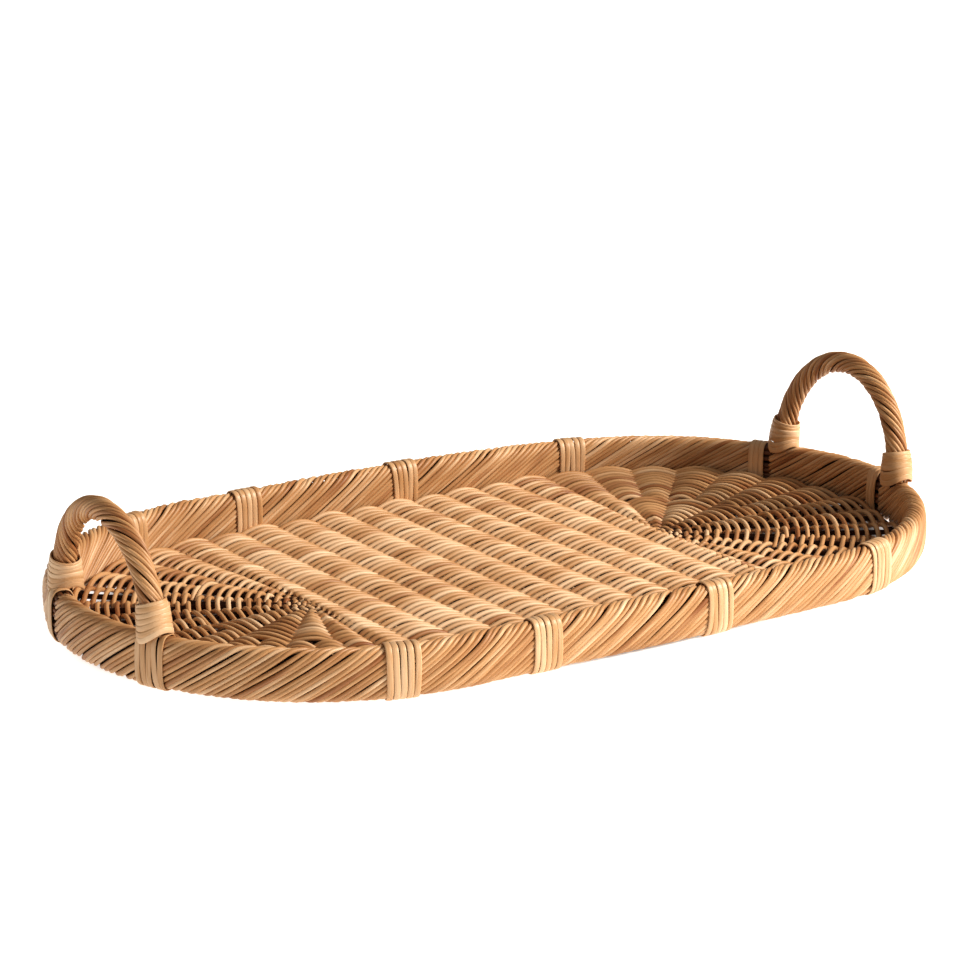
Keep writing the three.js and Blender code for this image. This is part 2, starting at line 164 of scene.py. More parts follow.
class TrayBorder(PropertyGroup):
    """Sizes of the border and its bindings."""

    thick: size("Thickness", "Thickness of the wrapped border", 17)
    low: size("Underside", "Height of the wrapped border's underside", 1)
    high: size("Top", "Height of the wrapped border's top", 38)
    rod: size("Rod", "Diameter of a border rod", 3.5)
    rods: count("Rods", "Rods laid side by side round the border", 21)
    lead: size("Lead", "Length of border in which a rod goes once round it", 122)
    binding_thick: size("Binding thickness", "Thickness of the border at a binding", 19)
    binding_high: size("Binding top", "Height of a binding's top", 39.5)
    binding_wide: size("Binding width", "Width of a whole binding", 23)
    strip: size("Strip", "Thickness of the split cane", 1.3)


class TrayHandle(PropertyGroup):
    """Sizes of the handles."""

    grip: size("Grip", "Diameter of the twisted grip", 17.0)
    strand: size("Strand", "Diameter of a strand", 3.15)
    strands: count("Strands", "Strands laid round a bow", 13)
    lay: size("Lay", "Length of grip in which a strand goes once round it", 74)
    lashing: size("Lashing", "Height of the lashing at a foot", 21)


class TrayColours(PropertyGroup):
    """Colours of the cane."""

    pale: colour("Pale cane", "Palest rods", "E9C8A2")
    honey: colour("Honey cane", "Most rods", "C99B6A")
    amber: colour("Amber cane", "Darkest rods", "965C30")
    bark: colour("Raw cane", "Hidden core and its shade", "4A2409")


# ---------------------------------------------------------------- shape helpers


def spow(value, power):
    """Signed power: the size raised to the power, with the sign kept."""
    return np.sign(value) * np.abs(value) ** power


def middle_line():
    """Plan points and arc lengths of the border's middle line, anticlockwise from the +X end:
    x = straight + reach cos^(2/p), y = width sin^(2/p), then a side swollen by (1 - share^2)^2."""
    angle = np.linspace(0, math.pi / 2, LINE_POINTS, endpoint=False)
    end_x = HALF_STRAIGHT + END_REACH * np.cos(angle) ** (2 / END_POWER)
    end_y = HALF_WIDTH * np.sin(angle) ** (2 / END_POWER)
    side_x = np.linspace(HALF_STRAIGHT, 0, LINE_POINTS)
    side_y = HALF_WIDTH + side_bow(side_x)
    x, y = np.append(end_x, side_x), np.append(end_y, side_y)
    x = np.concatenate((x[:-1], -x[::-1][:-1], -x[:-1], x[::-1]))
    y = np.concatenate((y[:-1], y[::-1][:-1], -y[:-1], -y[::-1]))
    steps = np.hypot(np.diff(x), np.diff(y))
    return x, y, np.append(0, np.cumsum(steps))


def side_bow(x):
    """Outward swell of a long side at x."""
    share = np.minimum(1, np.abs(x) / HALF_STRAIGHT)
    return SIDE_BOW * (1 - share**2) ** 2


LINE_X, LINE_Y, LINE_ARC = middle_line()
GIRTH = LINE_ARC[-1]


def plan(distance):
    """Plan points at distances along the middle line."""
    d = np.mod(distance, GIRTH)
    return np.interp(d, LINE_ARC, LINE_X), np.interp(d, LINE_ARC, LINE_Y)


def station(distance):
    """Plan points and outward normals at distances along the middle line."""
    x, y = plan(distance)
    x0, y0 = plan(distance - 1.5 * MM)
    x1, y1 = plan(distance + 1.5 * MM)
    length = np.hypot(x1 - x0, y1 - y0)
    return x, y, (y1 - y0) / length, -(x1 - x0) / length


def sag(x, y):
    """Drop of the border's top towards its +X +Y corner."""
    reach = (HALF_STRAIGHT + END_REACH - SAG_FROM_X) * HALF_WIDTH
    share = 2 * np.maximum(0, x - SAG_FROM_X) * np.maximum(0, y) / reach
    return CORNER_SAG * np.minimum(1, share)


def section_table(half_thick, half_high, power=3.0):
    """Superellipse section with equal steps along its edge: offset, height and outward slope."""
    angle = np.linspace(0, TURN, 2881)
    o = half_thick * spow(np.cos(angle), 2 / power)
    z = half_high * spow(np.sin(angle), 2 / power)
    edge = np.append(0, np.cumsum(np.hypot(np.diff(o), np.diff(z))))
    share = edge / edge[-1]
    even = np.linspace(0, 1, 721)
    o, z = np.interp(even, share, o), np.interp(even, share, z)
    return even, o, z, edge[-1]


def on_border(distance, turn, table, low, high, lift=0.0):
    """Points on the border at distances along it and turns round its section, and the outward
    directions there: the section's superellipse, squeezed where the corner sags, and moved along
    its own outward slope by the lift, which dies away underneath."""
    even, o, z, _ = table
    t = np.mod(turn, 1)
    x, y, nx, ny = station(distance)
    top = high - sag(x, y)
    half = (z.max() - z.min()) / 2
    squeeze = (top - low) / (2 * half)
    off, rise = np.interp(t, even, o), np.interp(t, even, z)
    o1, z1 = np.interp(np.mod(t + 0.004, 1), even, o), np.interp(np.mod(t + 0.004, 1), even, z)
    o0, z0 = np.interp(np.mod(t - 0.004, 1), even, o), np.interp(np.mod(t - 0.004, 1), even, z)
    out_o, out_z = z1 - z0, o0 - o1
    length = np.hypot(out_o, out_z)
    out_o, out_z = out_o / length, out_z / length
    lift = np.where(lift > 0, lift * (1 + np.minimum(0, out_z)), lift)
    off, rise = off + out_o * lift, (rise + out_z * lift) * squeeze
    height = (low + top) / 2 + rise
    points = np.stack((x + nx * off, y + ny * off, height), -1)
    outward = np.stack((nx * out_o, ny * out_o, out_z), -1)
    return points, outward


def drift(rng, rows, along, wave):
    """Slow random wander for each row: random knots a wave apart, joined by smooth steps."""
    along = np.atleast_2d(along)
    place = (along - along.min()) / wave
    knots = rng.standard_normal((rows, int(place.max()) + 3))
    low = np.floor(place).astype(int)
    step = place - low
    step = step * step * (3 - 2 * step)
    low = np.broadcast_to(low, (rows, low.shape[1]))
    row = np.arange(rows)[:, None]
    return knots[row, low] * (1 - step) + knots[row, low + 1] * step


def unit(vectors):
    """Vectors made one long."""
    return vectors / np.maximum(np.linalg.norm(vectors, axis=-1, keepdims=True), 1e-12)


def round_profile(sides):
    """Corners of a round section, as shares of its radius: outward and across."""
    angle = np.arange(sides) * TURN / sides
    return np.stack((np.cos(angle), np.sin(angle)), -1)


def flat_profile(half_thick, half_wide, points=12, power=2.6):
    """Corners of a flat section with rounded edges: outward and across."""
    angle = np.arange(points) * TURN / points
    return np.stack(
        (half_thick * spow(np.cos(angle), 2 / power), half_wide * spow(np.sin(angle), 2 / power)),
        -1,
    )


class Weft:
    """Gathers swept rods into one mesh, with each point's tone and place in the grain."""

    def __init__(self):
        self.points, self.loops, self.totals, self.tones, self.grains = [], [], [], [], []
        self.size = 0

    def sweep(self, paths, profile, outward, scale, tone):
        """Carries a section along paths (rods, stations, 3). The section's axes are the outward
        direction made square to the path, and the path's direction crossed with it."""
        rods, stations, _ = paths.shape
        corners = len(profile)
        tangent = unit(np.gradient(paths, axis=1))
        out = unit(outward - tangent * np.sum(outward * tangent, -1, keepdims=True))
        across = np.cross(tangent, out)
        scale = np.broadcast_to(scale, (rods, stations))[..., None, None]
        ring = profile[None, None, :, :] * scale
        skin = (
            paths[:, :, None, :]
            + ring[..., 0:1] * out[:, :, None, :]
            + ring[..., 1:2] * across[:, :, None, :]
        )
        length = np.cumsum(np.linalg.norm(np.diff(paths, axis=1), axis=2), axis=1)
        length = np.concatenate((np.zeros((rods, 1)), length), 1)
        tone = np.broadcast_to(tone, (rods, stations))
        offset = tone[:, :1] * 7 + np.arange(rods)[:, None] * 0.37
        grain = np.empty((rods, stations, corners, 3))
        grain[..., 0] = (length + offset)[:, :, None]
        grain[..., 1:] = ring
        base = self.size + np.arange(rods)[:, None, None] * stations * corners
        i = np.arange(stations - 1)[None, :, None] * corners
        j, k = np.arange(corners), (np.arange(corners) + 1) % corners
        a, b = base + i + j, base + i + k
        quads = np.stack((a, b, b + corners, a + corners), -1).reshape(-1)
        last = (stations - 1) * corners
        starts = (base[:, 0, :] + j[::-1]).reshape(-1)
        ends = (base[:, 0, :] + last + j).reshape(-1)
        self.points.append(skin.reshape(-1, 3))
        self.loops += [quads, starts, ends]
        self.totals += [np.full(rods * (stations - 1) * corners, 4), np.full(2 * rods, corners)]
        self.tones.append(np.repeat(tone.reshape(-1), corners))
        self.grains.append(grain.reshape(-1, 3))
        self.size += skin.shape[0] * stations * corners

    def build(self, name, material, replaced):
        """Makes the mesh object, puts it on the frame and hides the CAD nodes it stands for."""
        mesh = bpy.data.meshes.new(name)
        points, loops = np.concatenate(self.points), np.concatenate(self.loops)
        totals = np.concatenate(self.totals)
        mesh.vertices.add(len(points))
        mesh.vertices.foreach_set("co", points.astype(np.float32).ravel())
        mesh.loops.add(len(loops))
        mesh.loops.foreach_set("vertex_index", loops.astype(np.int32))
        mesh.polygons.add(len(totals))
        starts = np.append(0, np.cumsum(totals)[:-1])
        mesh.polygons.foreach_set("loop_start", starts.astype(np.int32))
        mesh.polygons.foreach_set("loop_total", totals.astype(np.int32))
        mesh.update(calc_edges=True)
        mesh.polygons.foreach_set("use_smooth", np.ones(len(totals), bool))
        tone = mesh.attributes.new("tone", "FLOAT", "POINT")
        tone.data.foreach_set("value", np.concatenate(self.tones).astype(np.float32))
        grain = mesh.attributes.new("grain", "FLOAT_VECTOR", "POINT")
        grain.data.foreach_set("vector", np.concatenate(self.grains).astype(np.float32).ravel())
        mesh.validate()
        piece = bpy.data.objects.new(name, mesh)
        bpy.context.scene.collection.objects.link(piece)
        mesh.materials.append(material)
        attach(piece, "root")
        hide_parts(*replaced)
        return piece


def dress_node(name, material):
    """Gives a CAD node that stays in view a finished material."""
    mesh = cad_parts[name].data
    mesh.materials.clear()
    mesh.materials.append(material)


# ---------------------------------------------------------------- materials


def add_node(tree, kind, settings=None, links=None):
    """Adds a node, sets its properties and sockets, and links its inputs to other outputs."""
    made = tree.nodes.new(kind)
    for key, value in (settings or {}).items():
        if isinstance(key, str) and hasattr(made, key):
            setattr(made, key, value)
        else:
            made.inputs[key].default_value = value
    for key, source in (links or {}).items():
        tree.links.new(source, made.inputs[key])
    return made


def cane_material(name, colours, roughness, specular, streak, relief):
    """Cane of a given finish. Its tone attribute picks each rod's colour, a noise stretched along
    the rod draws the fibres, and a slow one darkens the rod here and there."""
    if name in bpy.data.materials:
        return bpy.data.materials[name]
    material = bpy.data.materials.new(name)
    material.use_nodes = True
    tree = material.node_tree
    tree.nodes.clear()
    tone = add_node(tree, "ShaderNodeAttribute", {"attribute_name": "tone"})
    grain = add_node(tree, "ShaderNodeAttribute", {"attribute_name": "grain"})
    # Fibres: about two thirds of a millimetre wide and some twenty millimetres long.
    fibre_place = add_node(
        tree, "ShaderNodeMapping", {"Scale": (45, 1500, 1500)}, {"Vector": grain.outputs["Vector"]}
    )
    fibre = add_node(
        tree,
        "ShaderNodeTexNoise",
        {"Scale": 1.0, "Detail": 3.0, "Roughness": 0.6},
        {"Vector": fibre_place.outputs["Vector"]},
    )
    # Stains: patches some forty millimetres long, as sap and light leave them.
    stain_place = add_node(
        tree, "ShaderNodeMapping", {"Scale": (24, 120, 120)}, {"Vector": grain.outputs["Vector"]}
    )
    stain = add_node(
        tree,
        "ShaderNodeTexNoise",
        {"Scale": 1.0, "Detail": 2.0, "Roughness": 0.5},
        {"Vector": stain_place.outputs["Vector"]},
    )
    spread = add_node(
        tree,
        "ShaderNodeMath",
        {"operation": "MULTIPLY_ADD", 1: 0.55, 2: -0.275},
        {0: stain.outputs["Fac"]},
    )
    streaked = add_node(
        tree,
        "ShaderNodeMath",
        {"operation": "MULTIPLY_ADD", 1: streak, 2: -0.5 * streak},
        {0: fibre.outputs["Fac"]},
    )
    summed = add_node(
        tree,
        "ShaderNodeMath",
        {"operation": "ADD"},
        {0: tone.outputs["Fac"], 1: spread.outputs["Value"]},
    )
    total = add_node(
        tree,
        "ShaderNodeMath",
        {"operation": "ADD", "use_clamp": True},
        {0: summed.outputs["Value"], 1: streaked.outputs["Value"]},
    )
    ramp = add_node(tree, "ShaderNodeValToRGB", None, {"Fac": total.outputs["Value"]})
    stops = ramp.color_ramp.elements
    while len(stops) < len(colours):
        stops.new(0.5)
    for i, shade in enumerate(colours):
        stops[i].position = i / (len(colours) - 1)
        stops[i].color = (*shade, 1)
    bump = add_node(
        tree,
        "ShaderNodeBump",
        {"Strength": relief, "Distance": 0.25 * MM},
        {"Height": fibre.outputs["Fac"]},
    )
    shader = add_node(
        tree,
        "ShaderNodeBsdfPrincipled",
        {"Roughness": roughness, "Specular IOR Level": specular, "IOR": 1.5},
        {"Base Color": ramp.outputs["Color"], "Normal": bump.outputs["Normal"]},
    )
    add_node(tree, "ShaderNodeOutputMaterial", None, {"Surface": shader.outputs["BSDF"]})
    return material


def cane_colours():
    """The cane colours from the panel, darkest first."""
    c = bpy.context.scene.tray_colours
    return [tuple(c.bark), tuple(c.amber), tuple(c.honey), tuple(c.pale)]


def weaver_cane():
    """Rattan core, peeled to a round rod and left unvarnished: satin, with fine long fibres."""
    return cane_material("peeled rattan core, woven", cane_colours(), 0.5, 0.45, 0.3, 0.25)


def rod_cane():
    """Rattan core rod bent over the border: satin, a little glossier from handling."""
    return cane_material("peeled rattan core, bent", cane_colours(), 0.46, 0.5, 0.32, 0.3)


def split_cane():
    """Rattan skin, split flat for binding: smooth and pale, with clear long fibres."""
    return cane_material("split rattan skin, wrapped", cane_colours(), 0.42, 0.5, 0.42, 0.35)


def raw_cane_painted_shade():
    """Unpeeled rattan inside the border and under the weave: dull and brown, darkened far past its
    own colour as painted shade in the gaps where it shows.
    """
    c = bpy.context.scene.tray_colours
    dark, light = np.array(c.bark), np.array(c.amber)
    # The darkest stops, far below the bark colour, are painted shade: this cane shows only in gaps.
    shades = [tuple(dark * 0.35), tuple(dark * 0.6), tuple(dark), tuple(light * 0.8)]
    return cane_material("raw rattan, dark as painted shade", shades, 0.75, 0.25, 0.4, 0.4)


# ---------------------------------------------------------------- floor


def floor_reach(start, dx, dy):
    """How far the floor runs from plan points on the X axis in given directions, by halving the
    way to the border's inner wall."""
    wall = bpy.context.scene.tray_border.thick / 2 + WALL_GAP
    low, high = np.zeros_like(start), np.full_like(start, END_REACH + HALF_WIDTH)
    for _ in range(HALVINGS):
        middle = (low + high) / 2
        x, y = start + dx * middle, dy * middle
        beyond = np.maximum(0, np.abs(x) - HALF_STRAIGHT) / (END_REACH - wall)
        beside = np.abs(y) / (HALF_WIDTH + side_bow(x) - wall)
        inside = beyond**END_POWER + beside**END_POWER < 1
        low, high = np.where(inside, middle, low), np.where(inside, high, middle)
    return low


def spokes(u, fan_angles):
    """Start, direction, reach and fan share of the weave's rays at spoke numbers u, anticlockwise
    from the right fan's near side: the angle runs through the fan's list, then holds along a side
    while the start moves from one fan's centre to the other's."""
    floor = bpy.context.scene.tray_floor
    fan, cross = len(fan_angles) - 1, CROSS_STAKES - 1
    round_ = 2 * (fan + cross)
    u = np.mod(u, round_)
    numbers = np.arange(fan + 1)
    marks = np.concatenate((numbers, numbers + fan + cross, [round_]))
    angles = np.concatenate((fan_angles, fan_angles + math.pi, [1.5 * math.pi]))
    angle = np.interp(u, marks, angles)
    right, left = floor.shift + floor.fan, floor.shift - floor.fan
    ends = (0, fan, fan + cross, 2 * fan + cross, round_)
    start = np.interp(u, ends, (right, right, left, left, right))
    dx, dy = np.cos(angle), np.sin(angle)
    on_fan = (np.abs(dx) > 1e-6).astype(float)
    return start, dx, dy, floor_reach(start, dx, dy), on_fan


def single_angles():
    """Angles of a fan's opened stakes, with those of the cross stakes beside it."""
    return np.linspace(-math.pi / 2, math.pi / 2, FAN_GAPS + 1)


def fan_paths(side, share):
    """Middle lines of a fan's stakes at shares of the way out. Each turns from its pair's angle to
    its own by a smooth step, while its offset from the pair's middle dies away."""
    floor = bpy.context.scene.tray_floor
    own = single_angles()[1:-1, None]
    pair = PAIR_ANGLES[np.argmin(np.abs(PAIR_ANGLES[None, 1:-1] - own), axis=1) + 1][:, None]
    step = np.clip((share - OPENING[0]) / (OPENING[1] - OPENING[0]), 0, 1)
    step = step * step * (3 - 2 * step)
    angle = pair + (own - pair) * step
    centre = np.full_like(angle, floor.shift + side * floor.fan)
    dx, dy = side * np.cos(angle), np.sin(angle)
    out = floor_reach(centre, dx, dy) * share
    beside = np.sign(np.round(own - pair, 6)) * floor.stake / 2 * (1 - step)
    x = centre + dx * out - side * dy * beside
    y = dy * out + side * dx * beside
    return np.stack((x, y, np.full_like(x, floor.level)), -1)


class TRAY_OT_stakes(Operator):
    """Lays the floor's stakes: straight rods across the tray and a fan of rods at each end"""

    bl_idname = "tray.stakes"
    bl_label = "Floor Stakes"

    def execute(self, context):
        floor = context.scene.tray_floor
        rng = np.random.default_rng(SEED)
        weft = Weft()
        profile = round_profile(12)
        x = np.linspace(floor.shift - floor.fan, floor.shift + floor.fan, CROSS_STAKES)
        reach = floor_reach(x, np.zeros_like(x), np.ones_like(x)) - 0.5 * MM
        across = np.linspace(-1, 1, 48)[None, :]
        y = reach[:, None] * across
        wide = np.broadcast_to(x[:, None], y.shape)
        crossing = np.stack((wide, y, np.full_like(y, floor.level)), -1)
        share = np.linspace(0.04, 0.997, 40)[None, :]
        for paths in (crossing, fan_paths(1, share), fan_paths(-1, share)):
            rods, stations, _ = paths.shape
            paths[..., 2] += 0.12 * MM * drift(rng, rods, np.linspace(0, 1, stations), 0.3)
            tone = 0.34 + 0.1 * rng.standard_normal((rods, 1))
            weft.sweep(paths, profile, np.broadcast_to(UP, paths.shape), floor.stake / 2, tone)
        # One more cane lies under the stakes' ends and closes the joint between floor and border.
        # Like the stakes, it takes the raw cane's dark colour, which is painted shade in the gaps.
        distance = np.linspace(0, GIRTH - MM, 360)
        x, y, nx, ny = station(distance)
        x, y = x - nx * CLOSING_INWARD, y - ny * CLOSING_INWARD
        joint = np.stack((x, y, np.full_like(x, CLOSING_LEVEL)), -1)[None]
        weft.sweep(joint, profile, np.broadcast_to(UP, joint.shape), CLOSING_RADIUS, 0.3)
        replaced = [f"cross_stake_{i + 1:02d}" for i in range(CROSS_STAKES)]
        replaced += ["fan_stakes_right", "fan_stakes_left"]
        weft.build("floor_stakes", raw_cane_painted_shade(), replaced)
        return {"FINISHED"}


class TRAY_OT_weave(Operator):
    """Weaves the floor: each round goes over one stake and under the next, by turns"""

    bl_idname = "tray.weave"
    bl_label = "Floor Weave"

    def execute(self, context):
        floor = context.scene.tray_floor
        rng = np.random.default_rng(SEED + 1)
        half = floor.rounds // 2
        lift = (floor.stake + floor.weaver) / 2
        bands = ((0, half, PAIR_ANGLES), (half, floor.rounds, single_angles()))
        for band, (first, last, fan_angles) in enumerate(bands):
            samples = 12 if band == 0 else 9
            total = 2 * (len(fan_angles) - 1 + CROSS_STAKES - 1)
            u = np.arange(total * samples + 1) / samples
            start, dx, dy, reach, on_fan = spokes(u, fan_angles)
            weft = Weft()
            number = np.arange(first, last)[:, None]
            rows = len(number)
            share = (number + 0.55) / floor.rounds
            out = reach * share
            wander = drift(rng, rows, u, 1.3)
            out = out + 0.3 * MM * wander * np.minimum(1, out / (20 * MM))
            beat = np.cos(math.pi * (u + number))
            turned = np.abs(np.gradient(np.unwrap(np.arctan2(dy, dx)), u))
            gap = np.where(on_fan > 0, out * turned, 2 * floor.fan / (CROSS_STAKES - 1))
            tight = np.clip(gap / (15 * MM), 0.4, 1)
            swing = np.clip(1 + 0.06 * drift(rng, rows, u, 1.0), 0.84, 1.1)
            z = floor.level + lift * tight * swing * spow(beat, 0.9)
            x, y = start + dx * out, dy * out
            paths = np.stack((x, y, z), -1)
            # Rods in the fans are given a darker tone: painted shade standing in for the fans'
            # shading.
            tone = 0.72 + 0.08 * rng.standard_normal((rows, 1)) - 0.12 * on_fan
            # Rods are painted darker where they dip under a stake and lighter over it: painted shade
            # in the weave's hollows. The drift is the cane's own random tone.
            tone = tone + 0.1 * drift(rng, rows, u, 3.0) + 0.06 * beat
            thick = 1 + 0.05 * rng.standard_normal((rows, 1)) + 0.03 * drift(rng, rows, u, 2.0)
            weft.sweep(
                paths,
                round_profile(8),
                np.broadcast_to(UP, paths.shape),
                floor.weaver / 2 * np.clip(thick, 0.85, 1.12) * np.ones((1, len(u))),
                np.clip(tone, 0.05, 0.98),
            )
            weft.build(
                f"woven_rounds_{band + 1}", weaver_cane(), [f"weave_band_{band + 1}"]
            )
        return {"FINISHED"}


# ---------------------------------------------------------------- border


def binding_places():
    """Where each binding's middle is along the border, from the frame, in order."""
    places = []
    for name in FOOT_BINDINGS + SIDE_BINDINGS:
        low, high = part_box("binding_" + name)
        x, y = (low.x + high.x) / 2, (low.y + high.y) / 2
        nearest = np.argmin(np.hypot(LINE_X - x, LINE_Y - y)[:-1])
        places.append((float(LINE_ARC[nearest]), name))
    return sorted(places)


class TRAY_OT_border(Operator):
    """Wraps the border: rods laid side by side that climb slantwise round its core"""

    bl_idname = "tray.border"
    bl_label = "Border Rods"

    def execute(self, context):
        border = context.scene.tray_border
        rng = np.random.default_rng(SEED + 2)
        radius = border.rod / 2
        half_thick = border.thick / 2 - 1.1 * radius
        low, high = border.low + 1.1 * radius, border.high - 1.1 * radius
        table = section_table(half_thick, (high - low) / 2)
        places = binding_places()
        half = border.binding_wide / 2
        for i, (place, _) in enumerate(places):
            after, _ = places[(i + 1) % len(places)]
            after += GIRTH if after <= place else 0
            start = place + half - ROD_LAP
            end = after - half + ROD_LAP
            steps = max(8, int(round((end - start) / ROD_STEP)))
            distance = np.linspace(start, end, steps)[None, :]
            rods = border.rods
            phase = (np.arange(rods) + 0.09 * rng.standard_normal(rods)) / rods
            slip = 0.12 / rods * drift(rng, rods, distance, 45 * MM)
            turn = phase[:, None] + distance / border.lead + slip
            # The bundle swells a little between two bindings, most on the long sides.
            share = (distance - start) / (end - start)
            swell = np.sin(math.pi * share) * np.abs(station(distance)[3])
            sink = np.clip(0.35 * MM * drift(rng, rods, distance, 30 * MM), -0.8 * MM, 0)
            lift = sink + ROD_SWELL * swell
            distance = np.broadcast_to(distance, turn.shape)
            paths, outward = on_border(distance, turn, table, low, high, lift)
            tone = 0.68 + 0.085 * rng.standard_normal((rods, 1))
            tone = tone + 0.06 * drift(rng, rods, distance[:1], 25 * MM)
            thick = 1 + 0.07 * rng.standard_normal((rods, 1))
            thick = np.clip(thick + 0.04 * drift(rng, rods, distance[:1], 40 * MM), 0.8, 1.1)
            weft = Weft()
            weft.sweep(paths, round_profile(8), outward, radius * thick, np.clip(tone, 0.05, 0.98))
            bay = f"border_bay_{i + 1:02d}"
            weft.build(f"wrapped_bay_{i + 1:02d}", rod_cane(), [bay])
        # The core shows only between the rods, and its dark raw cane is painted shade there.
        dress_node("border_core", raw_cane_painted_shade())
        return {"FINISHED"}


class TRAY_OT_bindings(Operator):
    """Binds the border at intervals: flat split canes wound side by side round it"""

    bl_idname = "tray.bindings"
    bl_label = "Bindings"

    def execute(self, context):
        border = context.scene.tray_border
        rng = np.random.default_rng(SEED + 3)
        half_strip = border.strip / 2
        low, high = half_strip, border.binding_high - half_strip
        table = section_table(border.binding_thick / 2 - half_strip, (high - low) / 2)
        for place, name in binding_places():
            foot = name in OPEN_SIDE
            strips = 3 if foot else 5
            wide = border.binding_wide / 5
            middle = place - OPEN_SIDE.get(name, 0) * wide
            offset = (np.arange(strips) - (strips - 1) / 2) * wide
            turn = np.linspace(*BINDING_TURNS, 90)[None, :]
            slant = 0.5 * MM * rng.standard_normal((strips, 1)) * np.sin(TURN * turn + rng.random())
            distance = middle + offset[:, None] + slant
            turn = np.broadcast_to(turn, distance.shape)
            lift = -0.25 * MM * rng.random((strips, 1)) * np.ones_like(turn)
            paths, outward = on_border(distance, turn, table, low, high, lift)
            tone = np.clip(0.8 + 0.07 * rng.standard_normal((strips, 1)), 0.5, 0.98)
            weft = Weft()
            profile = flat_profile(half_strip, wide / 2 * 0.98)
            weft.sweep(paths, profile, outward, 1.0, tone)
            if foot:
                self.lay_painted_shade_canes(weft, rng, place, table, low, high)
            weft.build(f"bound_{name}", split_cane(), ["binding_" + name])
        return {"FINISHED"}

    def lay_painted_shade_canes(self, weft, rng, place, table, low, high):
        """Lays dark canes along the border under a foot's binding, seen in its open slot: their
        near-black colour is painted shade there.
        """
        canes = 18
        along = place + np.linspace(-9, 9, 10)[None, :] * MM
        turn = (np.arange(canes)[:, None] + 0.2 * rng.standard_normal((canes, 1))) / canes
        distance, turn = np.broadcast_arrays(along, turn)
        paths, outward = on_border(distance, turn, table, low, high, -3.2 * MM * np.ones(turn.shape))
        # The near-black tone is painted shade in the slot.
        tone = 0.05 + 0.04 * rng.random((canes, 1))
        weft.sweep(paths, round_profile(8), outward, 2.2 * MM, tone)


# ---------------------------------------------------------------- handles


def handle_line(handle, points, below):
    """Middle line of a handle's bow: half an ellipse that leans outwards, with straight feet."""
    angle = np.linspace(0, math.pi, points)
    side = handle["side"]
    top = bpy.context.scene.tray_border.binding_high
    x = side * (HANDLE_X + handle["lean"] * np.sin(angle))
    y = handle["centre"] - handle["spread"] * np.cos(angle)
    z = top + handle["rise"] * np.sin(angle)
    foot = np.linspace(below, 0, 6, endpoint=False)
    ends = []
    for sign in (-1, 1):
        end_y = handle["centre"] + sign * handle["spread"]
        drop = sag(np.array(side * HANDLE_X), np.array(end_y))
        foot_x = np.full_like(foot, side * HANDLE_X)
        ends.append(np.stack((foot_x, np.full_like(foot, end_y), top - (foot + drop)), -1))
    line = np.concatenate((ends[0], np.stack((x, y, z), -1), ends[1][::-1]))
    step = np.append(0, np.cumsum(np.linalg.norm(np.diff(line, axis=0), axis=1)))
    even = np.linspace(0, step[-1], points)
    return np.stack([np.interp(even, step, line[:, i]) for i in range(3)], -1), even


def around(line):
    """Two directions square to a handle's middle line: outwards along X, and across it."""
    tangent = unit(np.gradient(line, axis=0))
    first = unit(np.array((1.0, 0, 0)) - tangent * tangent[:, :1])
    return tangent, first, np.cross(tangent, first)


class TRAY_OT_handles(Operator):
    """Twists the handles: strands laid left-handed round each bow"""

    bl_idname = "tray.handles"
    bl_label = "Handle Strands"

    def execute(self, context):
        sizes = context.scene.tray_handle
        rng = np.random.default_rng(SEED + 4)
        for name, handle in HANDLES.items():
            line, along = handle_line(handle, 130, 2 * MM)
            _, first, second = around(line)
            strands = sizes.strands if name == "left" else sizes.strands - 1
            radius = sizes.strand / 2 * sizes.strands / strands
            ring = sizes.grip / 2 - radius
            rows = np.arange(strands) + 0.14 * rng.standard_normal(strands)
            angle = TURN * (rows[:, None] / strands - along[None, :] / sizes.lay)
            angle = angle + 0.05 * drift(rng, strands, along, 30 * MM)
            swell = ring + np.minimum(0, 0.22 * MM * drift(rng, strands, along, 25 * MM))
            direction = np.cos(angle)[..., None] * first + np.sin(angle)[..., None] * second
            paths = line[None] + direction * swell[..., None]
            tone = 0.6 + 0.07 * rng.standard_normal((strands, 1))
            tone = tone + 0.05 * drift(rng, strands, along, 30 * MM)
            thick = np.clip(0.95 + 0.05 * rng.standard_normal((strands, 1)), 0.85, 1.02)
            weft = Weft()
            weft.sweep(paths, round_profile(10), direction, radius * thick, np.clip(tone, 0.05, 0.98))
            weft.build(f"twisted_grip_{name}", rod_cane(), [f"handle_twist_{name}"])
            # The bow shows only between the strands, and its dark raw cane is painted shade there.
            dress_node(f"handle_bow_{name}", raw_cane_painted_shade())
        return {"FINISHED"}


